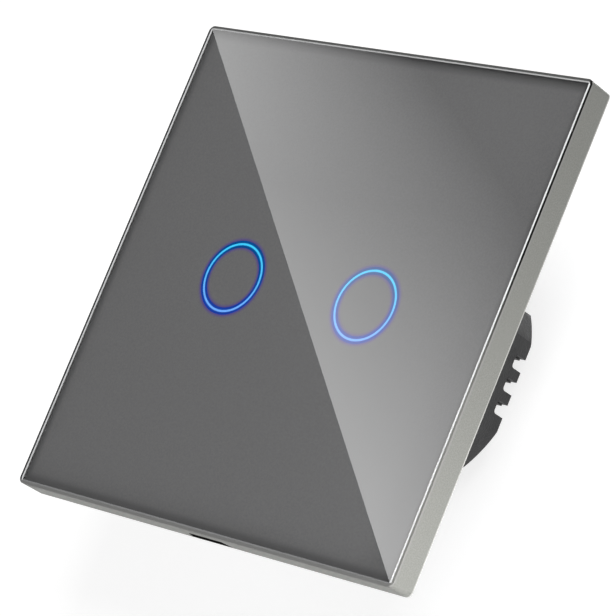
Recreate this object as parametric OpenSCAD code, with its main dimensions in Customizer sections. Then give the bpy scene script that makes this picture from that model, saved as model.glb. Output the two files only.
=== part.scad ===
// Touch light switch with two glowing rings, for a round flush box.
// A bevelled glass panel in a clip-on frame covers a steel yoke that carries a round module.
// The front faces -Y, +Z is up, and the wall plane is Y = 0.

/* [Panel frame] */
// Width and height of the square frame
panel_w = 80; // [76:0.5:90]
// Corner radius of the frame, seen from the front
frame_corner_r = 1; // [0.8:0.1:1.6]
// Wall of the frame beside the glass
frame_rim_t = 0.35; // [0.3:0.05:0.5]
// Wall of the frame behind its web
frame_skirt_t = 1.2; // [0.8:0.1:2]
// Thickness of the web that backs the glass
frame_web_t = 0.7; // [0.5:0.05:1]
// Mean width of the pry slot in the bottom wall
pry_w = 8; // [4:0.5:14]
// Height of the pry slot
pry_h = 2.1; // [1.2:0.1:2.5]
// How much wider the pry slot is at its back than at its front
pry_flare = 1.6; // [0:0.1:2.5]
// Lip that closes the pry slot towards the wall
pry_lip = 0.3; // [0.2:0.05:0.6]

/* [Glass] */
// Thickness of the glass
glass_t = 1.4; // [1.2:0.1:4]
// How far the glass stands proud of the frame's rim
glass_proud = 0.55; // [0.3:0.05:0.8]
// Width of the polished bevel round the front, seen from the front
bevel_w = 0.25; // [0.2:0.05:0.5]
// Depth of the polished bevel
bevel_d = 0.06; // [0.04:0.01:0.2]
// Width of the black seam between glass and rim
seam_w = 0.05; // [0.05:0.05:0.15]
// Thickness of the bond between web and print
bond_t = 0.75; // [0.3:0.05:1.2]
// Width of the bond along each edge
bond_w = 6; // [3:0.5:10]
// Thickness of the grey print on the back of the glass
print_t = 0.1; // [0.05:0.01:0.15]

/* [Touch rings] */
// Distance between the two ring centres
ring_spacing = 28; // [24:0.5:32]
// Mean radius of a glowing ring
ring_r = 5.6; // [5:0.1:6.5]
// Width of a glowing ring
ring_line_w = 1.2; // [0.6:0.05:1.3]
// How far the rings sit below the panel's centre
ring_drop = 0.2; // [0:0.1:2]
// Wall of a light guide
guide_t = 1.4; // [1.3:0.05:1.6]
// How far the guide's flange stands out
guide_flange_w = 0.8; // [0.5:0.1:1.2]
// Thickness of the guide's flange
guide_flange_t = 0.8; // [0.5:0.1:1.2]
// Mean radius of a touch spring
spring_r = 3.4; // [2.5:0.1:4]
// Wire diameter of a touch spring
spring_wire = 0.5; // [0.3:0.05:0.55]
// Number of curls in a touch spring
spring_curls = 4; // [3:1:4]

/* [Yoke] */
// How far the yoke's edge stays inside the frame's skirt
yoke_inset = 3.3; // [2.5:0.1:5]
// Thickness of the yoke's sheet
yoke_t = 1; // [0.8:0.1:1.5]
// Corner radius of the yoke
yoke_corner_r = 4; // [1:0.5:8]
// Distance from the frame's edge to a box screw
box_screw_inset = 10; // [9:0.1:11]
// Width of a box screw slot
slot_w = 4.2; // [3.5:0.1:5]
// Length of a box screw slot, end to end
slot_len = 7; // [5.5:0.1:8]
// Width of a bent tab that holds the module
tab_w = 10; // [6:0.5:14]
// Gap between yoke and frame web
yoke_gap = 0.85; // [0.75:0.05:1.5]

/* [Panel clips] */
// Thickness of a clip
clip_t = 1.2; // [0.9:0.1:1.4]
// Width of a clip
clip_w = 6; // [4:0.5:8]
// Height of the clips above and below the centre
clip_y = 8; // [7:0.5:12]
// How far a clip reaches behind the wall plane
clip_reach = 2.6; // [2:0.1:5]
// How far a clip's barb stands out
clip_barb = 0.3; // [0.1:0.05:0.5]

/* [Module housing] */
// Outer radius of the round housing
housing_r = 22; // [21:0.1:24]
// Depth of the housing behind the wall plane
housing_depth = 27; // [25:0.5:36]
// Wall of the housing
housing_wall = 1.6; // [1.2:0.1:2]
// Floor of the housing
housing_floor_t = 1.8; // [1.2:0.1:2.2]
// Chamfer round the housing's back edge
housing_chamfer = 0.2; // [0.1:0.1:1]
// Corner radius of the square front part
tray_corner_r = 8; // [6:0.5:10]
// Depth of the touch board's seat behind the wall plane
tray_seat = 4.4; // [3.8:0.1:6]
// Thickness of the shoulder under the touch board
shoulder_t = 2.6; // [2.4:0.1:4]
// How far the flat on the terminal side cuts in
flat_cut = 1.4; // [0.8:0.1:2]
// Wall between the flat and the terminals
flat_wall = 2.2; // [1.6:0.1:2.6]
// Width of a wire notch
notch_w = 1.6; // [1.4:0.1:2.2]
// Depth of a wire notch from the back edge
notch_depth = 2.2; // [1.5:0.1:3]
// Corner radius at the floor of a wire notch
notch_corner_r = 0.5; // [0.3:0.1:0.7]
// How much wider a wire notch is in its outer part, on each side
notch_flare = 0.25; // [0.15:0.05:0.4]
// How far the wider outer part of a wire notch goes into the wall
notch_step = 1.1; // [0.6:0.1:1.4]
// Height of the step at the top of the back end, above the centre
step_y = 12; // [10:0.1:13]
// Depth of the step at the top of the back end
step_depth = 3; // [2:0.1:4]
// Width of a vent slot in the floor
vent_w = 1.2; // [0.8:0.1:1.8]
// Length of a vent slot
vent_len = 14; // [8:0.5:18]
// Number of vent slots
vent_count = 5; // [3:1:6]
// Distance between vent slots
vent_pitch = 3.4; // [2.6:0.1:3.8]

/* [Sensor cover] */
// Thickness of the cover plate
cover_t = 0.7; // [0.5:0.05:0.8]
// How far the cover laps over the yoke
cover_lap = 0.5; // [0.3:0.1:1]
// Length of the cover's locating ribs
cover_rib_len = 22; // [12:1:28]
// Depth of the cover's locating ribs
cover_rib_h = 2; // [1:0.1:3]

/* [Boards] */
// Thickness of the touch board
touch_board_t = 1.2; // [0.8:0.1:1.6]
// Thickness of the power board
power_board_t = 1.6; // [1.2:0.1:2]
// Height of the posts under the power board
post_h = 5; // [4.6:0.1:5.6]
// Radius of a post
post_r = 1.5; // [1:0.1:2]
// Number of pins between the two boards
pin_count = 6; // [4:1:6]
// Distance between pins
pin_pitch = 2.54; // [2:0.01:2.6]
// Width of a relay, as a share of the power board's radius
relay_w_share = 0.515; // [0.42:0.005:0.53]
// Length of a relay, as a share of the power board's radius
relay_l_share = 0.78; // [0.6:0.01:0.82]
// Room between the relays and the touch board
relay_top_gap = 2.2; // [1:0.1:5]
// Radius of the storage capacitor, as a share of the power board's radius
cap_r_share = 0.16; // [0.12:0.005:0.18]
// Width of the film capacitor, as a share of the power board's radius
film_w_share = 0.25; // [0.2:0.01:0.28]
// Length of the film capacitor, as a share of the power board's radius
film_l_share = 0.645; // [0.5:0.005:0.66]
// Room between the capacitors and the touch board
cap_top_gap = 3.2; // [1.5:0.1:6]
// Radius of the surge disc, as a share of the power board's radius
surge_r_share = 0.177; // [0.13:0.001:0.18]

/* [Terminals] */
// Distance between terminals, and between wire notches
terminal_pitch = 3.81; // [3.5:0.01:4.2]
// Wall between two terminal cells
barrier_t = 0.5; // [0.4:0.05:0.6]
// Outer side wall of the terminal block
block_side_t = 1; // [0.8:0.1:1.5]
// Depth of a terminal cell, from its back wall to its mouth
cell_len = 5.6; // [5:0.1:6]
// Thickness of a brass terminal plate
plate_t = 0.8; // [0.5:0.1:1]
// How far a plate lies below the notch floor
wire_dip = 0.8; // [0.4:0.1:1.2]
// Thickness of a wire saddle
saddle_t = 0.6; // [0.5:0.05:0.8]
// Thread radius of a terminal screw
screw_r = 0.95; // [0.75:0.05:1]
// Head radius of a terminal screw
head_r = 1.35; // [1.2:0.05:1.4]
// Head height of a terminal screw
head_h = 1.3; // [1:0.1:1.6]
// Length of a terminal screw's shank
shank_len = 3.6; // [3:0.1:4]

/* [Hidden] */
$fn = 64;

// Clearances
clear = 0.3;
running_fit = 0.05;
loose_fit = 0.1;
contact_gap = 0.05;
// Overshoot of every cutting tool
over = 1;

// Levels of the panel, measured out from the wall plane
web_back_z = yoke_t + yoke_gap;
web_front_z = web_back_z + frame_web_t;
print_back_z = web_front_z + bond_t;
glass_back_z = print_back_z + print_t;
front_z = glass_back_z + glass_t;
rim_z = front_z - glass_proud;
band_z = front_z - bevel_d;

// Widths of the panel and of the yoke behind it
yoke_w = panel_w - 2 * (frame_skirt_t + yoke_inset);
box_screw_spacing = panel_w - 2 * box_screw_inset;
pocket_w = panel_w - 2 * frame_rim_t;
glass_w = pocket_w - 2 * seam_w;
pocket_corner_r = frame_corner_r - frame_rim_t;
glass_corner_r = pocket_corner_r - seam_w;

// Light guides and the square front part that holds them
guide_in_r = ring_r - guide_t / 2;
guide_out_r = ring_r + guide_t / 2;
flange_r = guide_out_r + guide_flange_w;
tray_in_w = ring_spacing + 2 * (flange_r + clear);
tray_w = tray_in_w + 2 * housing_wall;
tray_depth = tray_seat + shoulder_t;
tray_in_corner_r = tray_corner_r - housing_wall;
cutout_w = tray_w + 2 * clear;
cutout_corner_r = tray_corner_r + clear;
cover_w = cutout_w + 2 * cover_lap;
cover_corner_r = cutout_corner_r + cover_lap;
web_open_w = cover_w + 2 * clear;
web_open_corner_r = cover_corner_r + clear;
cover_front_z = yoke_t + cover_t;

// Panel clips and the yoke windows that they pass through
clip_edge = 1.2;
clip_x = web_open_w / 2 + clip_edge;
clip_barb_h = 1;
window_w = clip_t + clip_barb + 2 * clear;
window_h = clip_w + 2 * clear;

// Tabs of the yoke and their screws
tab_y = cutout_w / 2;
yoke_screw_z = -(tray_seat + shoulder_t / 2);
yoke_screw_r = 1;
yoke_head_r = 1.8;
yoke_head_h = 1.2;
yoke_shank_len = yoke_t + clear + 1.6;
tab_edge = 0.6;
tab_len = -yoke_screw_z + yoke_head_r + tab_edge;

// Housing
cavity_r = housing_r - housing_wall;
flat_x = housing_r - flat_cut;
bay_x = flat_x - flat_wall;
cavity_floor_z = -(housing_depth - housing_floor_t);
post_ring_r = cavity_r - post_r - 1.4;
post_angles = [110, 160, 200, 250];
vent_x = -4;

// Boards
touch_board_w = tray_in_w - 2 * clear;
touch_front_z = -tray_seat + touch_board_t;
power_back_z = cavity_floor_z + post_h;
power_front_z = power_back_z + power_board_t;
power_board_r = cavity_r - clear;
power_edge_x = bay_x - clear;

// Parts on the power board, laid out from the pair of relays
board_room = -tray_seat - power_front_z;
part_gap = 0.05 * power_board_r;
relay_gap = 0.025 * power_board_r;
relay_w = relay_w_share * power_board_r;
relay_l = relay_l_share * power_board_r;
relay_h = board_room - relay_top_gap;
relay_pair_x = -0.263 * power_board_r;
relay_y = 0.136 * power_board_r;
relay_edge_r = 0.6;
relay_edge_x = relay_pair_x + relay_w + relay_gap / 2;
film_w = film_w_share * power_board_r;
film_l = film_l_share * power_board_r;
film_h = board_room - cap_top_gap;
film_x = relay_edge_x + part_gap;
film_y = 0.02 * power_board_r;
film_edge_r = 0.8;
cap_r = cap_r_share * power_board_r;
cap_h = board_room - cap_top_gap;
cap_x = film_x + cap_r;
cap_y = film_y + film_l / 2 + part_gap + cap_r;
surge_r = surge_r_share * power_board_r;
surge_t = surge_r;
surge_x = film_x + part_gap;
surge_y = film_y - film_l / 2 - part_gap - surge_r;
surge_lead = 1.4;
surge_lead_r = 0.35;
header_bar_h = 2.5;
header_bar_w = 2.5;
header_bar_l = pin_count * pin_pitch;
header_edge = 0.8;
header_y = header_edge + header_bar_w / 2 - sqrt(pow(power_board_r, 2) - pow(header_bar_l / 2, 2));
pin_w = 0.64;

// Chip and LEDs on the touch board
chip_y = 9;
chip_l = 9.9;
chip_w = 3.9;
chip_h = 1.5;
chip_lift = 0.15;
chip_leg_count = 8;
chip_leg_pitch = 1.27;
chip_leg_w = 0.42;
chip_leg_t = 0.22;
chip_foot = 1.05;
led_l = 2;
led_w = 1.25;
led_h = 0.8;
led_gap = 0.2;

// Light guides and springs along the viewing direction
guide_top_z = print_back_z - clear;
guide_foot_z = touch_front_z + led_h + led_gap;
spring_top_z = print_back_z - clear;
spring_sides = 6;
spring_rings_per_curl = 8;

// Terminals, numbered from the top
terminal_count = 3;
terminal_y = [for (i = [0 : terminal_count - 1]) ((terminal_count - 1) / 2 - i) * terminal_pitch];
cell_w = terminal_pitch - barrier_t;
block_x1 = bay_x - clear;
cell_x0 = block_x1 - cell_len;
block_x0 = cell_x0 - block_side_t;
block_w = (terminal_count - 1) * terminal_pitch + cell_w + 2 * block_side_t;
block_recess = 0.6;
block_end_z = -(housing_depth - block_recess);
plate_back_z = -(housing_depth - notch_depth - wire_dip);
cell_floor_z = plate_back_z + plate_t;
plate_margin = 0.2;
plate_w = cell_w - 2 * plate_margin;
plate_l = cell_len - 2 * plate_margin;
terminal_x = cell_x0 + cell_len / 2;
tail_w = 0.8;
tail_x = cell_x0 + plate_margin;
saddle_w = cell_w - 2 * clear;
saddle_l = cell_len - 4 * clear;
saddle_front_z = plate_back_z - loose_fit;
saddle_back_z = saddle_front_z - saddle_t;
head_front_z = saddle_back_z - contact_gap;
head_slot_w = 0.45;
head_slot_h = 0.6;
window_margin = clear;

// Turns the drawing plane, x right, y up and z out of the wall, into the object's own frame.
module upright() {
    rotate([90, 0, 0]) children();
}

// Rounded rectangle about the centre.
module rounded_outline(w, h, r) {
    square([w - 2 * r, h], center = true);
    square([w, h - 2 * r], center = true);
    for (sx = [-1, 1], sy = [-1, 1]) {
        translate([sx * (w / 2 - r), sy * (h / 2 - r)]) circle(r);
    }
}

// Plate of a rounded outline between two levels.
module rounded_plate(w, h, r, z0, z1) {
    translate([0, 0, z0]) linear_extrude(z1 - z0) rounded_outline(w, h, r);
}

// Outline of a slot with round ends, along x.
module slot_outline(len, w) {
    square([len - w, w], center = true);
    for (sx = [-1, 1]) {
        translate([sx * (len - w) / 2, 0]) circle(w / 2);
    }
}

// Straight cylinder between two levels.
module rod(r, z0, z1) {
    translate([0, 0, z0]) cylinder(r = r, h = z1 - z0);
}

// Block between two corners.
module block(lo, hi) {
    translate(lo) cube(hi - lo);
}

// Tools that plane the bevel along the four front edges of the glass.
module bevel_cutters() {
    for (a = [0 : 90 : 270]) {
        rotate([0, 0, a])
            translate([0, glass_w / 2, front_z])
                rotate([90, 0, 90])
                    linear_extrude(panel_w, center = true)
                        polygon([[-bevel_w, over], [over, over], [over, -bevel_d - over],
                            [0, -bevel_d], [-bevel_w, 0]]);
    }
}

// Panel

module glass_panel() {
    color([0.62, 0.66, 0.68, 0.5])
        upright() difference() {
            rounded_plate(glass_w, glass_w, glass_corner_r, glass_back_z, front_z);
            bevel_cutters();
        }
}

// Flat ring in the place of each glowing line, between two levels.
module ring_lines(z0, z1) {
    for (side = [-1, 1]) {
        translate([side * ring_spacing / 2, -ring_drop, 0]) difference() {
            rod(ring_r + ring_line_w / 2, z0, z1);
            rod(ring_r - ring_line_w / 2, z0 - over, z1 + over);
        }
    }
}

module back_print() {
    color([0.36, 0.36, 0.37])
        upright() difference() {
            rounded_plate(glass_w, glass_w, glass_corner_r, print_back_z, glass_back_z);
            ring_lines(print_back_z - over, glass_back_z + over);
        }
}

// Translucent print that fills the two ring lines.
module ring_windows() {
    color([0.3, 0.6, 1]) upright() ring_lines(print_back_z, glass_back_z);
}

// Bed under the glass, seam round it and a black band that caps the rim up to the bevel.
module panel_bond() {
    bond_open_w = glass_w - 2 * bond_w;
    color([0.06, 0.06, 0.06])
        upright() difference() {
            union() {
                rounded_plate(pocket_w, pocket_w, pocket_corner_r, web_front_z, band_z);
                rounded_plate(panel_w, panel_w, frame_corner_r, rim_z, band_z);
            }
            rounded_plate(glass_w, glass_w, glass_corner_r, print_back_z, band_z + over);
            rounded_plate(bond_open_w, bond_open_w, glass_corner_r,
                web_front_z - over, print_back_z + over);
        }
}

// Clip on the right-hand side, with its barb facing outwards.
module clip() {
    root_z = web_back_z + frame_web_t / 2;
    barb_z = -clip_reach + clip_barb_h;
    translate([clip_x, clip_w / 2, 0])
        rotate([90, 0, 0])
            linear_extrude(clip_w)
                polygon([[0, root_z], [clip_t, root_z], [clip_t, barb_z + clip_barb],
                    [clip_t + clip_barb, barb_z], [clip_t, -clip_reach], [0, -clip_reach]]);
}

// Tool for the pry slot in the bottom wall, wider at its back.
module pry_slot() {
    half_back = (pry_w + pry_flare / 2) / 2;
    half_front = (pry_w - pry_flare / 2) / 2;
    translate([0, -panel_w / 2 + frame_skirt_t, 0])
        rotate([90, 0, 0])
            linear_extrude(frame_skirt_t + over)
                polygon([[-half_back, pry_lip], [half_back, pry_lip],
                    [half_front, pry_lip + pry_h], [-half_front, pry_lip + pry_h]]);
}

module panel_frame() {
    skirt_in_w = panel_w - 2 * frame_skirt_t;
    color([0.66, 0.67, 0.64])
        upright() union() {
            difference() {
                rounded_plate(panel_w, panel_w, frame_corner_r, 0, rim_z);
                rounded_plate(pocket_w, pocket_w, pocket_corner_r, web_front_z, rim_z + over);
                rounded_plate(skirt_in_w, skirt_in_w, pocket_corner_r, -over, web_back_z);
                rounded_plate(web_open_w, web_open_w, web_open_corner_r, -over, rim_z + over);
                pry_slot();
            }
            for (side = [0, 1], sy = [-1, 1]) {
                mirror([side, 0, 0]) translate([0, sy * clip_y, 0]) clip();
            }
        }
}

// Yoke

module yoke_openings() {
    rounded_outline(cutout_w, cutout_w, cutout_corner_r);
    for (a = [0 : 90 : 270]) {
        rotate(a) translate([box_screw_spacing / 2, 0]) slot_outline(slot_len, slot_w);
    }
    for (sx = [-1, 1], sy = [-1, 1]) {
        translate([sx * (clip_x + (clip_t + clip_barb) / 2), sy * clip_y])
            square([window_w, window_h], center = true);
    }
}

module mounting_yoke() {
    color([0.72, 0.73, 0.75])
        upright() difference() {
            union() {
                linear_extrude(yoke_t) difference() {
                    rounded_outline(yoke_w, yoke_w, yoke_corner_r);
                    yoke_openings();
                }
                for (side = [0, 1]) {
                    mirror([0, side, 0])
                        block([-tab_w / 2, tab_y, -tab_len], [tab_w / 2, tab_y + yoke_t, yoke_t / 2]);
                }
            }
            for (side = [0, 1]) {
                mirror([0, side, 0])
                    translate([0, tab_y, yoke_screw_z])
                        rotate([-90, 0, 0]) rod(yoke_screw_r + loose_fit, -over, yoke_t + over);
            }
        }
}

module yoke_screws() {
    head_y = tab_y + yoke_t;
    color([0.75, 0.75, 0.77])
        upright() for (side = [0, 1]) {
            mirror([0, side, 0])
                translate([0, head_y, yoke_screw_z])
                    rotate([-90, 0, 0]) difference() {
                        union() {
                            rod(yoke_head_r, 0, yoke_head_h);
                            rod(yoke_screw_r, -yoke_shank_len, yoke_head_h / 2);
                        }
                        cross_recess(yoke_head_r, yoke_head_h);
                    }
        }
}

// Cross recess in a screw head whose top is at level h.
module cross_recess(r, h) {
    for (a = [0, 90]) {
        rotate([0, 0, a])
            block([-r * 0.65, -r * 0.15, h / 2], [r * 0.65, r * 0.15, h + over]);
    }
}

// Module

// Round cup with a chamfered back edge, planed flat on the terminal side.
module housing_cup() {
    difference() {
        rotate_extrude()
            polygon([[0, -housing_depth], [housing_r - housing_chamfer, -housing_depth],
                [housing_r, -housing_depth + housing_chamfer], [housing_r, -tray_seat], [0, -tray_seat]]);
        block([flat_x, -housing_r, -housing_depth - over], [housing_r + over, housing_r, -tray_depth]);
    }
}

// Hollow of the cup behind the touch board's shoulder, shallower over the step.
module housing_cavity() {
    intersection() {
        rod(cavity_r, cavity_floor_z, -tray_seat + over);
        union() {
            block([-housing_r, -housing_r, cavity_floor_z], [bay_x, step_y - housing_wall, 0]);
            block([-housing_r, 0, cavity_floor_z + step_depth], [bay_x, housing_r, 0]);
        }
    }
}

// Step at the top of the back end.
module back_step() {
    block([-housing_r - over, step_y, -housing_depth - over],
        [housing_r + over, housing_r + over, -housing_depth + step_depth]);
}

// Window in the floor that the terminal block fills.
module terminal_window() {
    half_w = block_w / 2 + window_margin;
    block([block_x0 - window_margin, -half_w, -housing_depth - over], [bay_x, half_w, power_back_z]);
}

// Wire notch with round corners, cut along x from x0 to x1 and widened by a flare.
module notch_cutter(x0, x1, flare) {
    translate([x0, 0, -housing_depth])
        rotate([90, 0, 90])
            linear_extrude(x1 - x0)
                rounded_outline(notch_w + 2 * flare, 2 * (notch_depth + flare), notch_corner_r);
}

module wire_notches() {
    for (y = terminal_y) {
        translate([0, y, 0]) {
            notch_cutter(bay_x - over, flat_x + over, 0);
            notch_cutter(flat_x - notch_step, flat_x + over, notch_flare);
        }
    }
}

module vent_slots() {
    for (i = [0 : vent_count - 1]) {
        translate([vent_x + (i - (vent_count - 1) / 2) * vent_pitch, 0, -housing_depth - over])
            linear_extrude(housing_floor_t + 2 * over) rotate(90) slot_outline(vent_len, vent_w);
    }
}

module rear_housing() {
    color([0.13, 0.13, 0.14])
        upright() difference() {
            union() {
                difference() {
                    union() {
                        rounded_plate(tray_w, tray_w, tray_corner_r, -tray_depth, yoke_t);
                        housing_cup();
                    }
                    rounded_plate(tray_in_w, tray_in_w, tray_in_corner_r, -tray_seat, yoke_t + over);
                    housing_cavity();
                }
                for (a = post_angles) {
                    rotate([0, 0, a]) translate([post_ring_r, 0, 0])
                        rod(post_r, cavity_floor_z - housing_floor_t / 2, power_back_z);
                }
            }
            back_step();
            terminal_window();
            wire_notches();
            vent_slots();
            for (side = [0, 1]) {
                mirror([0, side, 0])
                    translate([0, tray_w / 2, yoke_screw_z])
                        rotate([90, 0, 0]) rod(yoke_screw_r + running_fit, -over, yoke_shank_len - yoke_t);
            }
        }
}

module sensor_cover() {
    rib_y = tray_in_w / 2 - clear;
    rib_t = 1;
    color([0.2, 0.2, 0.21])
        upright() difference() {
            union() {
                rounded_plate(cover_w, cover_w, cover_corner_r, yoke_t, cover_front_z);
                for (side = [0, 1]) {
                    mirror([0, side, 0])
                        block([-cover_rib_len / 2, rib_y - rib_t, yoke_t - cover_rib_h],
                            [cover_rib_len / 2, rib_y, yoke_t + cover_t / 2]);
                }
            }
            for (side = [-1, 1]) {
                translate([side * ring_spacing / 2, -ring_drop, 0])
                    rod(guide_out_r + loose_fit, yoke_t - over, cover_front_z + over);
            }
        }
}

// Touch sensors

// Tubular light guide with a flange that is bonded under the sensor cover.
module light_ring(side) {
    flange_z = yoke_t - guide_flange_t;
    color([0.55, 0.8, 1])
        upright() translate([side * ring_spacing / 2, -ring_drop, 0])
            rotate_extrude()
                polygon([[guide_in_r, guide_foot_z], [guide_out_r, guide_foot_z], [guide_out_r, flange_z],
                    [flange_r, flange_z], [flange_r, yoke_t], [guide_out_r, yoke_t],
                    [guide_out_r, guide_top_z], [guide_in_r, guide_top_z]]);
}

// Centreline of a touch spring: a straight foot, the curls and a straight top.
function spring_line() = let (
        steps = spring_curls * spring_rings_per_curl,
        low = touch_front_z + spring_wire,
        rise = spring_top_z - touch_front_z - 2 * spring_wire
    ) concat(
        [[spring_r, 0, touch_front_z]],
        [for (i = [0 : steps]) let (a = 360 * i / spring_rings_per_curl)
            [spring_r * cos(a), spring_r * sin(a), low + rise * i / steps]],
        [[spring_r, 0, spring_top_z]]
    );

// Unit vector.
function unit(v) = v / norm(v);

// Direction of a line at point i.
function line_dir(line, i) = unit(line[min(i + 1, len(line) - 1)] - line[max(i - 1, 0)]);

// Ring of points round the line at point i, held to the radial direction.
function line_ring(line, i, r, sides) = let (
        out = unit([line[i][0], line[i][1], 0]),
        dir = line_dir(line, i),
        n1 = unit(out - dir * (out * dir)),
        n2 = cross(dir, n1)
    ) [for (k = [0 : sides - 1]) line[i] + r * (cos(360 * k / sides) * n1 + sin(360 * k / sides) * n2)];

// Solid tube swept along a line.
module tube(line, r, sides) {
    last = len(line) - 1;
    points = [for (i = [0 : last]) each line_ring(line, i, r, sides)];
    walls = [for (i = [0 : last - 1], k = [0 : sides - 1]) let (
            a = i * sides + k,
            b = i * sides + (k + 1) % sides
        ) each [[a, a + sides, b], [b, a + sides, b + sides]]];
    foot = [for (k = [1 : sides - 2]) [0, k, k + 1]];
    head = [for (k = [1 : sides - 2]) [last * sides, last * sides + k + 1, last * sides + k]];
    polyhedron(points, concat(walls, foot, head));
}

// Least clear distance between two curls of a line, past its own bend.
function curl_gap(line, d, skip) = min([for (i = [0 : len(line) - 1], j = [0 : len(line) - 1])
    if (j >= i + skip) norm(line[i] - line[j]) - d]);

echo(str("Least gap between curls of a touch spring: ",
    curl_gap(spring_line(), spring_wire, spring_rings_per_curl / 2), " mm"));

module touch_spring(side) {
    color([0.8, 0.8, 0.82])
        upright() translate([side * ring_spacing / 2, -ring_drop, 0])
            tube(spring_line(), spring_wire / 2, spring_sides);
}

module touch_board() {
    color([0.1, 0.32, 0.2])
        upright() rounded_plate(touch_board_w, touch_board_w, tray_in_corner_r - clear,
            -tray_seat, touch_front_z);
}

module touch_chip() {
    body_z = touch_front_z + chip_lift;
    row_len = (chip_leg_count - 1) * chip_leg_pitch;
    color([0.1, 0.1, 0.1])
        upright() translate([0, chip_y, 0]) union() {
            block([-chip_l / 2, -chip_w / 2, body_z], [chip_l / 2, chip_w / 2, body_z + chip_h]);
            for (side = [0, 1], i = [0 : chip_leg_count - 1]) {
                mirror([0, side, 0])
                    translate([i * chip_leg_pitch - row_len / 2 - chip_leg_w / 2, 0, 0])
                        chip_leg(body_z + chip_h / 2);
            }
        }
}

// Gull-wing leg that leaves the chip's side at level z and stands on the board.
module chip_leg(z) {
    y0 = chip_w / 2 - chip_leg_t;
    y1 = chip_w / 2 + chip_foot / 2;
    y2 = chip_w / 2 + chip_foot;
    translate([chip_leg_w, 0, 0])
        rotate([90, 0, -90])
            mirror([1, 0, 0])
                linear_extrude(chip_leg_w)
                    polygon([[y0, z], [y1, z], [y1, touch_front_z + chip_leg_t],
                        [y2, touch_front_z + chip_leg_t], [y2, touch_front_z],
                        [y1 - chip_leg_t, touch_front_z], [y1 - chip_leg_t, z - chip_leg_t],
                        [y0, z - chip_leg_t]]);
}

module ring_leds() {
    color([0.9, 0.92, 0.85])
        upright() for (side = [-1, 1], end = [-1, 1]) {
            translate([side * ring_spacing / 2, end * ring_r - ring_drop, 0])
                block([-led_l / 2, -led_w / 2, touch_front_z], [led_l / 2, led_w / 2, touch_front_z + led_h]);
        }
}

// Power unit

module pin_header() {
    row_len = (pin_count - 1) * pin_pitch;
    bar_z = -tray_seat - header_bar_h;
    color([0.12, 0.12, 0.13])
        upright() translate([0, header_y, 0]) union() {
            block([-header_bar_l / 2, -header_bar_w / 2, bar_z],
                [header_bar_l / 2, header_bar_w / 2, -tray_seat]);
            for (i = [0 : pin_count - 1]) {
                translate([i * pin_pitch - row_len / 2, 0, 0])
                    block([-pin_w / 2, -pin_w / 2, power_front_z],
                        [pin_w / 2, pin_w / 2, bar_z + header_bar_h / 2]);
            }
        }
}

module power_board() {
    color([0.12, 0.36, 0.22])
        upright() intersection() {
            rod(power_board_r, power_back_z, power_front_z);
            block([-housing_r, -housing_r, power_back_z], [power_edge_x, housing_r, power_front_z]);
        }
}

module relay(side) {
    x = relay_pair_x + side * (relay_w + relay_gap) / 2;
    color([0.15, 0.3, 0.6])
        upright() translate([x, relay_y, 0])
            rounded_plate(relay_w, relay_l, relay_edge_r, power_front_z, power_front_z + relay_h);
}

module storage_capacitor() {
    crimp_z = power_front_z + cap_h * 0.14;
    crimp_r = cap_r * 0.9;
    crimp_h = cap_h * 0.08;
    top_z = power_front_z + cap_h;
    color([0.12, 0.13, 0.3])
        upright() translate([cap_x, cap_y, 0])
            rotate_extrude()
                polygon([[0, power_front_z], [cap_r, power_front_z], [cap_r, crimp_z],
                    [crimp_r, crimp_z + crimp_h / 2], [cap_r, crimp_z + crimp_h],
                    [cap_r, top_z - crimp_h / 2], [cap_r - crimp_h / 2, top_z], [0, top_z]]);
}

module film_capacitor() {
    color([0.75, 0.62, 0.2])
        upright() translate([film_x + film_w / 2, film_y, 0])
            rounded_plate(film_w, film_l, film_edge_r, power_front_z, power_front_z + film_h);
}

module surge_disc() {
    lead_y = surge_r * 0.6;
    centre_z = power_front_z + surge_lead + surge_r;
    color([0.2, 0.35, 0.65])
        upright() translate([surge_x, surge_y, 0]) union() {
            translate([0, 0, centre_z]) rotate([0, 90, 0]) rod(surge_r, 0, surge_t);
            for (sy = [-1, 1]) {
                translate([surge_t / 2, sy * lead_y, 0]) rod(surge_lead_r, power_front_z, centre_z);
            }
        }
}

// Terminals

module terminal_block() {
    color([0.1, 0.1, 0.11])
        upright() difference() {
            block([block_x0, -block_w / 2, block_end_z], [block_x1, block_w / 2, power_back_z]);
            for (y = terminal_y) {
                translate([0, y, 0]) {
                    block([cell_x0, -cell_w / 2, block_end_z - over],
                        [block_x1 + over, cell_w / 2, cell_floor_z]);
                    translate([terminal_x, 0, 0])
                        rod(screw_r + loose_fit, cell_floor_z - over, head_front_z + shank_len + loose_fit);
                    block([tail_x - loose_fit, -tail_w / 2 - loose_fit, cell_floor_z - over],
                        [tail_x + tail_w + loose_fit, tail_w / 2 + loose_fit, power_back_z + over]);
                }
            }
        }
}

module terminal_plates() {
    color([0.8, 0.65, 0.3])
        upright() for (y = terminal_y) {
            translate([0, y, 0]) difference() {
                union() {
                    block([tail_x, -plate_w / 2, plate_back_z],
                        [tail_x + plate_l, plate_w / 2, cell_floor_z]);
                    block([tail_x, -tail_w / 2, plate_back_z], [tail_x + tail_w, tail_w / 2, power_back_z]);
                }
                translate([terminal_x, 0, 0])
                    rod(screw_r + running_fit, plate_back_z - over, cell_floor_z + over);
            }
        }
}

// Square washer that presses the wire on its plate.
module wire_saddle(number) {
    color([0.78, 0.76, 0.7])
        upright() translate([terminal_x, terminal_y[number - 1], 0]) difference() {
            block([-saddle_l / 2, -saddle_w / 2, saddle_back_z],
                [saddle_l / 2, saddle_w / 2, saddle_front_z]);
            rod(screw_r + running_fit, saddle_back_z - over, saddle_front_z + over);
        }
}

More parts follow.
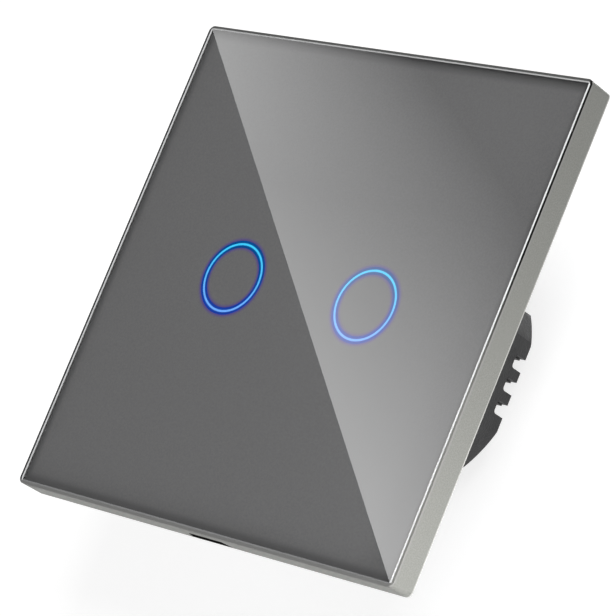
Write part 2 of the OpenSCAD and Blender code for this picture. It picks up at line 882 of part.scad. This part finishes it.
module terminal_screw(number) {
    head_back_z = head_front_z - head_h;
    color([0.7, 0.7, 0.72])
        upright() translate([terminal_x, terminal_y[number - 1], 0]) difference() {
            union() {
                rod(head_r, head_back_z, head_front_z);
                rod(screw_r, head_front_z - head_h / 2, head_front_z + shank_len);
            }
            block([-head_r - over, -head_slot_w / 2, head_back_z - over],
                [head_r + over, head_slot_w / 2, head_back_z + head_slot_h]);
        }
}

glass_panel();
back_print();
ring_windows();
panel_bond();
panel_frame();
mounting_yoke();
yoke_screws();
rear_housing();
sensor_cover();
light_ring(-1);  // left_light_ring
light_ring(1);  // right_light_ring
touch_spring(-1);  // left_touch_spring
touch_spring(1);  // right_touch_spring
touch_board();
touch_chip();
ring_leds();
pin_header();
power_board();
relay(-1);  // left_relay
relay(1);  // right_relay
storage_capacitor();
film_capacitor();
surge_disc();
terminal_block();
terminal_plates();
wire_saddle(1);  // wire_saddle_1
wire_saddle(2);  // wire_saddle_2
wire_saddle(3);  // wire_saddle_3
terminal_screw(1);  // terminal_screw_1
terminal_screw(2);  // terminal_screw_2
terminal_screw(3);  // terminal_screw_3
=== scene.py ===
import math

import bpy
from mathutils import Matrix, Vector


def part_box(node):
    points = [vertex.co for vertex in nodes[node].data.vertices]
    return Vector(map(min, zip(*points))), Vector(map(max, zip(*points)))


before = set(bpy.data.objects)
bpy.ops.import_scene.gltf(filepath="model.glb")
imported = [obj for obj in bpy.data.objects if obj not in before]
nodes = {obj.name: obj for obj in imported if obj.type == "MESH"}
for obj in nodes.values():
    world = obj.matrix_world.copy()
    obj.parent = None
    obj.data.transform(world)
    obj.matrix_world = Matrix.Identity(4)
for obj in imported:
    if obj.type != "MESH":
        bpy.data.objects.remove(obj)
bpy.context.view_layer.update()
scene = bpy.context.scene
MM = 0.001


def box_mm(name):
    """The lowest and highest corner of a node, in millimetres."""
    low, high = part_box(name)
    return low / MM, high / MM


# Sizes of the panel that the looks depend on, in millimetres

glass_low, glass_high = box_mm("glass_panel")
FRONT_Y = glass_low.y
BACK_Y = glass_high.y
HALF_GLASS = glass_high.x

RING_HALF_W = 0.6
guide_low, guide_high = box_mm("right_light_ring")
RING_X = (guide_low.x + guide_high.x) / 2
RING_Z = (guide_low.z + guide_high.z) / 2
RING_R = box_mm("ring_windows")[1].x - RING_X - RING_HALF_W

# The pry slot lies inside this box in the bottom wall of the panel's frame
BOTTOM_Z = box_mm("panel_frame")[0].z
PRY_X = (-4.5, 4.5)
PRY_Y = (-2.48, -0.24)
PRY_Z = (BOTTOM_Z + 0.01, BOTTOM_Z + 1.22)

# How far the print, the windows and the bond are drawn in, and how far the housing's edges are eased
HAIR = 0.015
HOUSING_EASE = 0.25

# The photograph's camera, in metres, degrees and pixels
EYE = Vector((0.36320, -0.37702, -0.10105))
AIM = Vector((-0.000562, 0.0, -0.001361))
ROLL = 22.321
FOCAL_PX = 3509.0
PICTURE_PX = 616.0
SENSOR_MM = 36.0

# The backdrop behind the module and the cards in front, in metres
WALL_Y = 0.034
WALL_HALF = 0.45
CARD_Y = -0.6


# Node helpers

class Graph:
    """The node tree of a material or the world, with short names for the nodes that the looks use."""

    def __init__(self, name, owner=None, out="ShaderNodeOutputMaterial"):
        self.owner = owner or bpy.data.materials.new(name)
        self.owner.use_nodes = True
        self.tree = self.owner.node_tree
        self.tree.nodes.clear()
        self.out = self.add(out)
        self.point = None

    def add(self, kind, **props):
        """A new node with its properties set."""
        n = self.tree.nodes.new(kind)
        for key, value in props.items():
            setattr(n, key, value)
        return n

    def plug(self, value, socket):
        """Links a node's output to a socket, or sets the socket to a plain value."""
        if isinstance(value, bpy.types.NodeSocket):
            self.tree.links.new(value, socket)
        else:
            socket.default_value = value

    def node(self, kind, **sockets):
        """A node with its inputs set by name, where _ stands for a space."""
        n = self.add(kind)
        for key, value in sockets.items():
            self.plug(value, n.inputs[key.replace("_", " ")])
        return n.outputs[0]

    def coords(self):
        """A point's place in the object, in metres."""
        if self.point is None:
            self.point = self.add("ShaderNodeTexCoord").outputs["Object"]
        return self.point

    def split(self, vector):
        """The x, y and z of a vector."""
        n = self.add("ShaderNodeSeparateXYZ")
        self.plug(vector, n.inputs[0])
        return n.outputs

    def place(self):
        """A point's x, y and z in the object, in millimetres."""
        n = self.add("ShaderNodeVectorMath", operation="SCALE")
        self.plug(self.coords(), n.inputs[0])
        n.inputs["Scale"].default_value = 1.0 / MM
        return self.split(n.outputs[0])

    def facing(self):
        """The x, y and z of the direction in which the surface faces."""
        return self.split(self.add("ShaderNodeNewGeometry").outputs["True Normal"])

    def math(self, op, first, *others):
        """One value from several, taken in turn. ABSOLUTE and SQRT take one."""
        for value in others or (0.0,):
            n = self.add("ShaderNodeMath", operation=op)
            self.plug(first, n.inputs[0])
            self.plug(value, n.inputs[1])
            first = n.outputs[0]
        return first

    def noise(self, scale, detail=4.0, rough=0.55, stretch=None):
        """Noise with about scale features to the metre, times stretch along each axis."""
        where = self.coords()
        if stretch:
            m = self.add("ShaderNodeMapping")
            self.plug(where, m.inputs["Vector"])
            m.inputs["Scale"].default_value = stretch
            where = m.outputs["Vector"]
        n = self.add("ShaderNodeTexNoise")
        self.plug(where, n.inputs["Vector"])
        n.inputs["Scale"].default_value = scale
        n.inputs["Detail"].default_value = detail
        n.inputs["Roughness"].default_value = rough
        return n.outputs["Fac"]

    def ramp(self, value, low, high, a=0.0, b=1.0, smooth=True):
        """Goes from a at low to b at high."""
        n = self.add("ShaderNodeMapRange", interpolation_type="SMOOTHSTEP" if smooth else "LINEAR")
        ends = {"Value": value, "From Min": low, "From Max": high, "To Min": a, "To Max": b}
        for key, end in ends.items():
            self.plug(end, n.inputs[key])
        return n.outputs[0]

    def inside(self, value, low, high, soft=0.05):
        """1 between low and high and 0 outside, with a soft change just inside each."""
        above = self.ramp(value, low, low + soft)
        below = self.ramp(value, high, high - soft)
        return self.math("MULTIPLY", above, below)

    def mix(self, fac, a, b):
        """Goes from colour a at 0 to colour b at 1."""
        n = self.add("ShaderNodeMix", data_type="RGBA")
        self.plug(fac, n.inputs["Factor"])
        self.plug(a, n.inputs["A"])
        self.plug(b, n.inputs["B"])
        return n.outputs["Result"]

    def bump(self, height, strength, depth_mm):
        """A normal that follows a height."""
        n = self.add("ShaderNodeBump")
        n.inputs["Strength"].default_value = strength
        n.inputs["Distance"].default_value = depth_mm * MM
        self.plug(height, n.inputs["Height"])
        return n.outputs["Normal"]

    def principled(self, **sockets):
        return self.node("ShaderNodeBsdfPrincipled", **sockets)

    def blend(self, fac, a, b):
        """Goes from shader a at 0 to shader b at 1."""
        n = self.add("ShaderNodeMixShader")
        for value, socket in zip((fac, a, b), n.inputs):
            self.plug(value, socket)
        return n.outputs[0]

    def end(self, shader):
        """Plugs the shader in, and gives the finished material or world."""
        self.plug(shader, self.out.inputs["Surface"])
        return self.owner


def rgba(r, g, b):
    return (r, g, b, 1.0)


WHITE = rgba(1.0, 1.0, 1.0)


def plastic(name, dark, light, rough=0.5, grain=2500.0, depth=0.1, shine=0.5):
    """Moulded plastic: a fine grain, uneven gloss and a faint change of tone."""
    g = Graph(name)
    tone = g.noise(140.0, 3.0)
    fine = g.noise(grain, 3.0, 0.6)
    return g.end(g.principled(
        Base_Color=g.mix(g.ramp(tone, 0.3, 0.7), rgba(*dark), rgba(*light)),
        Roughness=g.ramp(g.noise(400.0), 0.2, 0.8, rough - 0.07, rough + 0.07),
        Specular_IOR_Level=shine, Normal=g.bump(fine, 0.5, depth)))


def metal(name, dark, light, rough=0.3, stretch=(1.0, 1.0, 1.0)):
    """Plated or plain metal with fine lines or grain and patches of wear."""
    g = Graph(name)
    line = g.noise(900.0, 3.0, 0.6, stretch)
    wear = g.noise(220.0, 5.0)
    both = g.math("ADD", g.math("MULTIPLY", line, 0.6), g.math("MULTIPLY", wear, 0.4))
    return g.end(g.principled(
        Base_Color=g.mix(g.ramp(wear, 0.3, 0.75), rgba(*dark), rgba(*light)), Metallic=1.0,
        Roughness=g.ramp(both, 0.25, 0.75, rough - 0.1, rough + 0.12), Normal=g.bump(line, 0.3, 0.05)))


# Materials of the panel

def glass():
    """Clear slab that lets lamps through, with its bevel and a strip at the left painted whitish as
    highlights.
    """
    g = Graph("clear_glass")
    x, y, z = g.place()
    nx, ny, nz = g.facing()
    clear = g.principled(
        Base_Color=rgba(0.95, 0.95, 0.95), Roughness=0.0, IOR=1.5, Transmission_Weight=1.0,
        Coat_Weight=1.0, Coat_Roughness=0.0, Coat_IOR=2.55)
    path = g.add("ShaderNodeLightPath").outputs
    back_zone = (BACK_Y - 0.04, BACK_Y - 0.02)
    at_back = g.ramp(y, *back_zone)
    through = g.math("MAXIMUM", path["Is Shadow Ray"], path["Is Diffuse Ray"], at_back)
    pane = g.blend(through, clear, g.node("ShaderNodeBsdfTransparent"))
    cloud = g.ramp(g.noise(700.0), 0.3, 0.7)
    highlight_shader = g.principled(
        Base_Color=g.mix(cloud, rgba(0.86, 0.87, 0.87), rgba(0.96, 0.97, 0.97)),
        Roughness=0.3, Specular_IOR_Level=0.7)
    # The bevel leans, so it faces the front less than the pane and more than the sides do
    front = g.math("ABSOLUTE", ny)
    bevel = g.math("MULTIPLY", g.ramp(front, 0.5, 0.6), g.ramp(front, 0.995, 0.985))
    # Painted highlight on the bevel: strong at the left and right, brighter higher up on the right,
    # weaker at the top and none at the bottom
    highlight_brighter_up = (-30.0, 10.0)
    right = g.ramp(nx, 0.05, 0.2, 0.12, g.ramp(z, *highlight_brighter_up, 0.78, 0.98))
    left = g.ramp(nx, -0.05, -0.2, 0.0, 0.8)
    top = g.ramp(nz, 0.05, 0.2, 0.0, 0.45)
    painted_highlight = g.math("MULTIPLY", bevel, g.math("ADD", right, left, top))
    # Painted highlight as a whitish strip along the left edge of the front
    highlight_strip_zone = (-(HALF_GLASS - 0.40), -(HALF_GLASS - 0.36))
    front_zone = (FRONT_Y + 0.06, FRONT_Y + 0.03)
    highlight_strip = g.math("MULTIPLY", g.ramp(x, *highlight_strip_zone, 0.0, 0.85), g.ramp(y, *front_zone))
    return g.end(g.blend(g.math("MAXIMUM", painted_highlight, highlight_strip), pane, highlight_shader))


def ring_distance(g):
    """A point's distance from the line of the nearer ring, and its height above the ring's centre."""
    x, _, z = g.place()
    dx = g.math("SUBTRACT", g.math("ABSOLUTE", x), RING_X)
    dz = g.math("SUBTRACT", z, RING_Z)
    r = g.math("SQRT", g.math("ADD", g.math("MULTIPLY", dx, dx), g.math("MULTIPLY", dz, dz)))
    return g.math("ABSOLUTE", g.math("SUBTRACT", r, RING_R)), dz


def back_print():
    """Grey ink behind the glass, with painted shade along three of its borders, and round the rings
    darker violet ink under a painted violet glow of the ring light.
    """
    g = Graph("grey_print")
    x, _, z = g.place()
    left_inset = 0.6
    edge = g.math("MAXIMUM", g.math("SUBTRACT", -left_inset, x), g.math("ABSOLUTE", z))
    # Painted shade inside the left, top and bottom edges of the glass
    edge_shade_zone = (HALF_GLASS - 2.0, HALF_GLASS - 0.8)
    edge_shade = g.ramp(edge, *edge_shade_zone)
    speck = g.ramp(g.noise(3000.0, 2.0), 0.3, 0.7)
    colour = g.mix(speck, rgba(0.207, 0.207, 0.209), rgba(0.229, 0.229, 0.231))
    colour = g.mix(edge_shade, colour, rgba(0.162, 0.162, 0.164))
    off, _ = ring_distance(g)
    # Painted glow of the ring light on the ink round the rings, over darker violet ink
    ring_spill_zone = (1.25, 0.55)
    ring_spill = g.ramp(off, *ring_spill_zone)
    colour = g.mix(g.math("MULTIPLY", ring_spill, 0.6), colour, rgba(0.05, 0.03, 0.08))
    return g.end(g.principled(
        Base_Color=colour, Roughness=0.55, Specular_IOR_Level=0.0,
        Emission_Color=rgba(0.16, 0.02, 1.0), Emission_Strength=g.math("MULTIPLY", ring_spill, 0.2)))


def ring_glow(name, strength):
    """Lit milky plastic: a pale blue core between deep blue edges, greener towards the top."""
    g = Graph(name)
    off, height = ring_distance(g)
    core_zone = (0.26, 0.08)
    core = g.ramp(off, *core_zone)
    upper = g.ramp(height, -RING_R, RING_R)
    pale = g.mix(upper, rgba(0.16, 0.42, 1.0), rgba(0.05, 0.60, 1.0))
    deep = g.mix(upper, rgba(0.006, 0.040, 0.32), rgba(0.0, 0.060, 0.24))
    flicker = g.ramp(g.noise(900.0, 2.0), 0.2, 0.8, 0.94, 1.06)
    return g.end(g.principled(
        Base_Color=rgba(0.004, 0.008, 0.02), Roughness=0.4, Specular_IOR_Level=0.0,
        Emission_Color=g.mix(core, deep, pale),
        Emission_Strength=g.math("MULTIPLY", flicker, strength)))


def silver_paint():
    """Satin silver paint with a fine flake, a painted highlight along the skirt's back edge and painted
    black shade in the pry slot.
    """
    g = Graph("silver_paint")
    x, y, z = g.place()
    flake = g.noise(5200.0, 2.0, 0.5)
    cloud = g.noise(90.0, 4.0)
    colour = g.mix(g.ramp(flake, 0.35, 0.7), rgba(0.215, 0.217, 0.202), rgba(0.275, 0.278, 0.259))
    colour = g.mix(g.ramp(cloud, 0.55, 0.8, 0.0, 0.25), colour, rgba(0.235, 0.238, 0.221))
    # Painted highlight along the skirt's back edge, in patches
    skirt_edge = (-0.26, -0.14)
    not_wallward = g.ramp(g.facing()[1], 0.6, 0.4)
    patchy = g.ramp(cloud, 0.3, 0.6, 0.6, 1.0)
    edge_highlight = g.math("MULTIPLY", g.ramp(y, *skirt_edge), not_wallward, patchy)
    colour = g.mix(edge_highlight, colour, rgba(0.52, 0.52, 0.50))
    # Painted black shade inside the pry slot, without the metallic sheen
    slot_shade = g.math("MULTIPLY", g.inside(x, *PRY_X), g.inside(y, *PRY_Y), g.inside(z, *PRY_Z))
    colour = g.mix(slot_shade, colour, rgba(0.006, 0.006, 0.006))
    return g.end(g.principled(
        Base_Color=colour, Metallic=g.math("MULTIPLY", g.math("SUBTRACT", 1.0, slot_shade), 0.12),
        Roughness=g.ramp(g.noise(600.0), 0.2, 0.8, 0.36, 0.5), Specular_IOR_Level=0.12,
        Normal=g.bump(flake, 0.15, 0.006)))


def edge_band():
    """Dark bond, with painted light and shade on the rim's cap: grey at the top and lighter at the
    bottom. At the right it is silver, with painted black shade of the gap under the glass higher up.
    """
    g = Graph("edge_band")
    x, _, z = g.place()
    cap = (HALF_GLASS - 0.3, HALF_GLASS - 0.1)
    grain = g.ramp(g.noise(1800.0, 2.0), 0.3, 0.7)
    colour = g.mix(grain, rgba(0.032, 0.032, 0.033), rgba(0.042, 0.042, 0.042))
    # Painted light and shade on the rim's cap: grey at the top, lighter at the bottom
    colour = g.mix(g.ramp(z, *cap), colour, rgba(0.11, 0.11, 0.108))
    colour = g.mix(g.ramp(z, -cap[0], -cap[1]), colour, rgba(0.2, 0.2, 0.196))
    # Painted black shade of the gap under the glass on the right side's front faces, growing higher up,
    # silver below
    gap_shade_zone = (-14.0, 12.0)
    not_outward = g.ramp(g.facing()[0], 0.6, 0.4)
    gap_shade = g.math("MULTIPLY", g.ramp(z, *gap_shade_zone), not_outward)
    right = g.mix(gap_shade, rgba(0.255, 0.255, 0.243), rgba(0.004, 0.004, 0.004))
    colour = g.mix(g.ramp(x, *cap), colour, right)
    return g.end(g.principled(
        Base_Color=colour, Roughness=g.ramp(grain, 0.0, 1.0, 0.5, 0.65), Specular_IOR_Level=0.25,
        Normal=g.bump(grain, 0.2, 0.01)))


# Materials of the module

def solder_mask():
    """Green board with a faint weave under its varnish."""
    g = Graph("solder_mask")
    weave = g.noise(1600.0, 2.0, 0.5, (1.0, 1.0, 6.0))
    return g.end(g.principled(
        Base_Color=g.mix(g.ramp(weave, 0.3, 0.7), rgba(0.012, 0.09, 0.035), rgba(0.022, 0.13, 0.055)),
        Roughness=g.ramp(g.noise(300.0), 0.2, 0.8, 0.25, 0.4), Normal=g.bump(weave, 0.2, 0.01)))


def housing_plastic():
    return plastic(
        "black_moulding", (0.013, 0.013, 0.0135), (0.021, 0.021, 0.0215),
        rough=0.48, grain=3000.0, depth=0.16, shine=0.4)


def terminal_plastic():
    return plastic(
        "block_moulding", (0.012, 0.012, 0.0125), (0.018, 0.018, 0.0185),
        rough=0.48, grain=3000.0, depth=0.12, shine=0.4)


def dress(material, *names):
    """Gives nodes a material in place of their CAD colour."""
    for name in names:
        mesh = nodes[name].data
        mesh.materials.clear()
        mesh.materials.append(material)


RESIN = ((0.012, 0.012, 0.013), (0.02, 0.02, 0.021))
STEEL = ((0.5, 0.5, 0.52), (0.7, 0.7, 0.72))
clamps = (1, 2, 3)

dress(glass(), "glass_panel")
dress(back_print(), "back_print")
dress(ring_glow("lit_line", 1.37), "ring_windows")
dress(edge_band(), "panel_bond")
dress(silver_paint(), "panel_frame")

dress(metal("zinc_sheet", (0.57, 0.58, 0.59), (0.65, 0.66, 0.67), 0.42, (1.0, 1.0, 14.0)),
      "mounting_yoke")
dress(metal("zinc_screws", *STEEL, 0.3, (1.0, 6.0, 1.0)), "yoke_screws")
dress(housing_plastic(), "rear_housing")
dress(plastic("dark_cover", (0.03, 0.03, 0.032), (0.04, 0.04, 0.043)), "sensor_cover")
dress(ring_glow("lit_guide", 0.8), "left_light_ring", "right_light_ring")
dress(metal("spring_wire", (0.6, 0.6, 0.62), (0.75, 0.75, 0.77), 0.22, (1.0, 5.0, 1.0)),
      "left_touch_spring", "right_touch_spring")

dress(solder_mask(), "touch_board", "power_board")
dress(plastic("chip_resin", *RESIN, 0.55), "touch_chip")
dress(plastic("header_resin", *RESIN), "pin_header")
dress(plastic("led_package", (0.7, 0.7, 0.6), (0.85, 0.85, 0.75), 0.35), "ring_leds")
dress(plastic("relay_blue", (0.015, 0.08, 0.34), (0.025, 0.11, 0.42), 0.35),
      "left_relay", "right_relay")
dress(plastic("can_sleeve", (0.02, 0.022, 0.09), (0.035, 0.037, 0.12), 0.3), "storage_capacitor")
dress(plastic("film_case", (0.52, 0.34, 0.04), (0.64, 0.44, 0.07), 0.35), "film_capacitor")
dress(plastic("disc_dip", (0.02, 0.1, 0.34), (0.035, 0.13, 0.42), 0.4), "surge_disc")

dress(terminal_plastic(), "terminal_block")
dress(metal("plain_brass", (0.6, 0.4, 0.13), (0.76, 0.56, 0.24)), "terminal_plates")
dress(metal("nickel_saddle", (0.52, 0.5, 0.45), (0.68, 0.66, 0.6), 0.3, (8.0, 1.0, 1.0)),
      *(f"wire_saddle_{i}" for i in clamps))
dress(metal("terminal_steel", *STEEL, 0.28, (1.0, 6.0, 1.0)), *(f"terminal_screw_{i}" for i in clamps))


# Eased edges and drawn-in faces

def join_facets(name):
    """Joins the loose facets of a node, so that the next modifier keeps them closed."""
    weld = nodes[name].modifiers.new("weld", "WELD")
    weld.merge_threshold = 0.0005 * MM


def ease_edges(name, width_mm):
    """Rounds the sharp edges of a node a little."""
    join_facets(name)
    bevel = nodes[name].modifiers.new("eased", "BEVEL")
    bevel.width = width_mm * MM
    bevel.segments = 2
    bevel.limit_method = "ANGLE"
    bevel.angle_limit = math.radians(35)
    bevel.use_clamp_overlap = True
    bevel.harden_normals = False


def shrink(name, depth_mm):
    """Draws a node's faces in by a hair, so that they do not coincide with the glass."""
    join_facets(name)
    hair = nodes[name].modifiers.new("hair", "DISPLACE")
    hair.direction = "NORMAL"
    hair.mid_level = 0.0
    hair.strength = -depth_mm * MM


ease_edges("rear_housing", HOUSING_EASE)
for name in ("back_print", "ring_windows", "panel_bond"):
    shrink(name, HAIR)


# Camera

camera_data = bpy.data.cameras.new("camera")
camera_data.sensor_width = SENSOR_MM
camera_data.lens = FOCAL_PX / PICTURE_PX * SENSOR_MM
camera_data.clip_start = 0.01
camera_data.clip_end = 20.0
camera = bpy.data.objects.new("camera", camera_data)
scene.collection.objects.link(camera)
upright = (AIM - EYE).to_track_quat("-Z", "Y").to_matrix().to_4x4()
camera.matrix_world = Matrix.Translation(EYE) @ upright @ Matrix.Rotation(math.radians(ROLL), 4, "Z")
scene.camera = camera


# World

def studio():
    """Soft light from all round, white to the eye, and behind the object white to gloss and glass too."""
    g = Graph("studio", bpy.data.worlds.new("studio"), "ShaderNodeOutputWorld")
    _, y, z = g.split(g.add("ShaderNodeTexCoord").outputs["Generated"])
    light = g.node("ShaderNodeBackground", Color=WHITE, Strength=g.ramp(z, -0.2, -0.9, 0.3, 0.4))
    white = g.node("ShaderNodeBackground", Color=WHITE, Strength=1.0)
    path = g.add("ShaderNodeLightPath").outputs
    gloss = g.math("MAXIMUM", path["Is Glossy Ray"], path["Is Transmission Ray"])
    behind = g.ramp(y, 0.0, 0.3)
    seen = g.math("MAXIMUM", path["Is Camera Ray"], g.math("MULTIPLY", gloss, behind))
    return g.end(g.blend(seen, light, white))


scene.world = studio()


# Stage

def flat_face(name, corners, paint, uvs=None):
    """One flat face that belongs to the stage, with a map of its corners where uvs are given."""
    mesh = bpy.data.meshes.new(name)
    mesh.from_pydata([tuple(c) for c in corners], [], [tuple(range(len(corners)))])
    if uvs:
        layer = mesh.uv_layers.new(name="place")
        for loop, uv in zip(layer.data, uvs):
            loop.uv = uv
    mesh.update()
    mesh.materials.append(paint)
    o = bpy.data.objects.new(name, mesh)
    scene.collection.objects.link(o)
    return o


def wall_paint():
    """White wall that keeps a soft shadow, and is clear from behind."""
    g = Graph("white_wall")
    diffuse = g.node("ShaderNodeBsdfDiffuse", Color=rgba(0.5, 0.5, 0.5))
    path = g.add("ShaderNodeLightPath").outputs
    seen = g.math("MAXIMUM", path["Is Camera Ray"], path["Is Glossy Ray"], path["Is Transmission Ray"])
    lift = g.node("ShaderNodeEmission", Color=WHITE, Strength=g.math("MULTIPLY", seen, 0.73))
    both = g.add("ShaderNodeAddShader")
    g.plug(diffuse, both.inputs[0])
    g.plug(lift, both.inputs[1])
    behind = g.add("ShaderNodeNewGeometry").outputs["Backfacing"]
    return g.end(g.blend(behind, both.outputs[0], g.node("ShaderNodeBsdfTransparent")))


def softbox_glow():
    """Light that falls off away from the straight edge, and is weakest a third of the way down."""
    g = Graph("softbox_glow")
    u, v, _ = g.split(g.add("ShaderNodeUVMap", uv_map="place").outputs["UV"])
    reach = g.ramp(v, 0.0, 1.0, 0.56, 1.05, smooth=False)
    fall = g.ramp(g.math("SUBTRACT", u, v), 0.0, reach, 1.0, 0.03, smooth=False)
    lower = g.ramp(v, 0.3, 1.0, 0.69, 1.08, smooth=False)
    upper = g.ramp(v, 0.0, 0.3, 0.2, 0.0, smooth=False)
    glow = g.math("MULTIPLY", fall, g.math("ADD", lower, upper), 1.15)
    return g.end(g.node("ShaderNodeEmission", Color=WHITE, Strength=glow))


def black_cloth():
    """Cloth of the card that keeps light off the left half of the glass."""
    g = Graph("black_card")
    return g.end(g.node("ShaderNodeBsdfDiffuse", Color=rgba(0.01, 0.01, 0.01)))


def mirrored(u, v):
    """Where a card stands for it to be seen at a place on the glass, u to the right and v down."""
    front = FRONT_Y * MM
    side = 2 * HALF_GLASS * MM
    eye = Vector((EYE.x, 2 * front - EYE.y, EYE.z))
    spot = Vector(((u - 0.5) * side, front, (0.5 - v) * side))
    return eye + (spot - eye) * (CARD_Y - eye.y) / (spot.y - eye.y)


def card(name, corners, paint):
    """A card that only glossy surfaces show, given by where its corners are seen on the glass."""
    o = flat_face(name, [mirrored(u, v) for u, v in corners], paint, corners)
    o.visible_camera = False
    o.visible_diffuse = False
    o.visible_transmission = False
    o.visible_shadow = False


wall_corners = [(x * WALL_HALF, WALL_Y, z * WALL_HALF) for x, z in ((-1, -1), (1, -1), (1, 1), (-1, 1))]
wall = flat_face("backdrop", wall_corners, wall_paint())

# The cards meet along the diagonal of the glass and reach past its edges
upper_left = (-0.3, -0.3)
lower_right = (1.4, 1.4)
card("softbox", [upper_left, (1.4, -0.3), lower_right], softbox_glow())
card("flag", [upper_left, lower_right, (-0.3, 1.4)], black_cloth())


# Lamps

def lamp(name, where, size, watts, aim=(0.0, 0.0, 0.0)):
    """A square area lamp that the camera and gloss do not show."""
    data = bpy.data.lights.new(name, "AREA")
    data.shape = "SQUARE"
    data.size = size
    data.energy = watts
    o = bpy.data.objects.new(name, data)
    scene.collection.objects.link(o)
    o.location = where
    o.rotation_euler = (Vector(aim) - Vector(where)).to_track_quat("-Z", "Y").to_euler()
    o.visible_glossy = False
    o.visible_camera = False
    return o


lamp("key", (0.6, -0.9, 0.4), size=0.5, watts=7.2)
lamp("below", (0.1, -0.35, -0.9), size=0.5, watts=2.4)
corner = lamp("corner", (0.10, -0.012, -0.05), size=0.02, watts=0.055, aim=(0.04, -0.003, -0.03))
rear = lamp("rear", (-0.5, 0.85, 0.45), size=0.5, watts=8.0)

# The corner and rear lamps leave the wall alone, and the rear lamp shines through it
flagged = bpy.data.collections.new("flagged")
flagged.objects.link(wall)
flagged.collection_objects[0].light_linking.link_state = "EXCLUDE"
for o in (corner, rear):
    o.light_linking.receiver_collection = flagged
rear.light_linking.blocker_collection = flagged
rear.visible_glossy = True
rear.visible_transmission = False

scene.view_settings.view_transform = "Standard"
